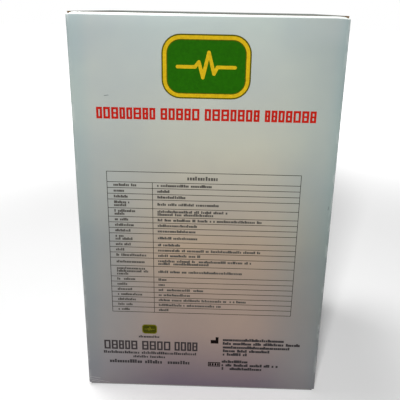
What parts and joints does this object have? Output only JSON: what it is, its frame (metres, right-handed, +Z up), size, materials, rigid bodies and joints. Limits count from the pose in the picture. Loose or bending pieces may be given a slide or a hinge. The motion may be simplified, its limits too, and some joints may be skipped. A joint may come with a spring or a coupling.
{
  "type": "boxed arm blood pressure monitor",
  "caption": "Closed tuck-top carton in satin silver board that holds an upper-arm blood pressure monitor on a board platform, with its folded cuff.",
  "frame": {"origin": "centre of the carton's base", "axes": "+Z up, -Y the printed spec panel that carries the lid, +X to the right seen from the spec panel"},
  "size_m": [0.135, 0.11, 0.213],
  "materials": {
    "printed_board": "satin",
    "kraft_board": "matte",
    "white_housing": "satin",
    "grey_housing": "satin",
    "button_plastic": "satin",
    "small_button_plastic": "satin",
    "clear_lens": "gloss",
    "display_glass": "satin",
    "holder_plastic": "satin",
    "zebra_rubber": "matte",
    "circuit_board": "satin",
    "switch_plastic": "matte",
    "screw_steel": "satin",
    "spring_steel": "polished",
    "cell_jacket": "satin",
    "motor_steel": "satin",
    "pump_plastic": "matte",
    "foam": "matte",
    "silicone_tube": "satin",
    "rubber": "matte",
    "cuff_fabric": "matte",
    "bladder_film": "satin",
    "port_plastic": "satin",
    "hook_tape": "matte",
    "paper": "matte"
  },
  "bodies": {
    "carton": {"aa_cells": "cell_jacket", "air_manifold": "pump_plastic", "air_socket": "rubber", "back_panel": "printed_board", "battery_springs": "spring_steel", "board_screws": "screw_steel", "bottom_case": "grey_housing", "buzzer": "switch_plastic", "case_screws": "screw_steel", "contact_plates": "spring_steel", "cuff_bladder": "bladder_film", "cuff_port": "port_plastic", "cuff_wrap": "cuff_fabric", "d_ring": "spring_steel", "exhaust_valve": "motor_steel", "front_panel": "printed_board", "glue_flap": "printed_board", "hook_patch": "hook_tape", "inner_base_flap": "printed_board", "inner_platform": "kraft_board", "lcd_holder": "holder_plastic", "lcd_panel": "display_glass", "left_base_flap": "printed_board", "left_side_panel": "printed_board", "lens_window": "clear_lens", "main_board": "circuit_board", "outer_base_flap": "printed_board", "pressure_sensor": "switch_plastic", "pump_air_tube": "silicone_tube", "pump_cushion": "foam", "pump_head": "pump_plastic", "pump_motor": "motor_steel", "right_base_flap": "printed_board", "right_side_panel": "printed_board", "rubber_feet": "rubber", "sensor_air_tube": "silicone_tube", "switch_bodies": "switch_plastic", "top_case": "white_housing", "user_manual": "paper", "warranty_card": "paper", "zebra_strips": "zebra_rubber"},
    "lid": {"top_lid": "printed_board"},
    "tuck": {"tuck_flap": "printed_board"},
    "left_dust": {"left_dust_flap": "printed_board"},
    "right_dust": {"right_dust_flap": "printed_board"},
    "start_key": {"start_button": "button_plastic", "start_plunger": "switch_plastic"},
    "memory_key": {"memory_button": "small_button_plastic", "memory_plunger": "switch_plastic"},
    "set_key": {"set_button": "small_button_plastic", "set_plunger": "switch_plastic"},
    "cover": {"battery_cover": "grey_housing"}
  },
  "joints": [
    {"name": "lid_fold", "type": "hinge", "parent": "carton", "child": "lid", "pos_m": [0, -0.0535, 0.2115], "axis": [1, 0, 0], "range_deg": [0, 120]},
    {"name": "tuck_fold", "type": "hinge", "parent": "lid", "child": "tuck", "pos_m": [0, 0.0506, 0.2115], "axis": [-1, 0, 0], "range_deg": [0, 25]},
    {"name": "left_dust_fold", "type": "hinge", "parent": "carton", "child": "left_dust", "pos_m": [-0.066, 0, 0.2099], "axis": [0, -1, 0], "range_deg": [0, 60]},
    {"name": "right_dust_fold", "type": "hinge", "parent": "carton", "child": "right_dust", "pos_m": [0.066, 0, 0.2099], "axis": [0, 1, 0], "range_deg": [0, 60]},
    {"name": "start_press", "type": "slide", "parent": "carton", "child": "start_key", "axis": [0, -0.3034, -0.9529], "range_m": [0, 0.0008], "stiffness_N_per_m": 1500, "springref_m": -0.0004},
    {"name": "memory_press", "type": "slide", "parent": "carton", "child": "memory_key", "axis": [0, -0.3034, -0.9529], "range_m": [0, 0.0008], "stiffness_N_per_m": 1500, "springref_m": -0.0004},
    {"name": "set_press", "type": "slide", "parent": "carton", "child": "set_key", "axis": [0, -0.3034, -0.9529], "range_m": [0, 0.0008], "stiffness_N_per_m": 1500, "springref_m": -0.0004},
    {"name": "battery_cover_hinge", "type": "hinge", "parent": "carton", "child": "cover", "pos_m": [0, -0.04705, 0.157], "axis": [-1, 0, 0], "range_deg": [0, 80]}
  ],
  "couplings": [
    {"joint": "left_dust_fold", "follows": "lid_fold", "ratio": 0.5},
    {"joint": "right_dust_fold", "follows": "lid_fold", "ratio": 0.5}
  ]
}
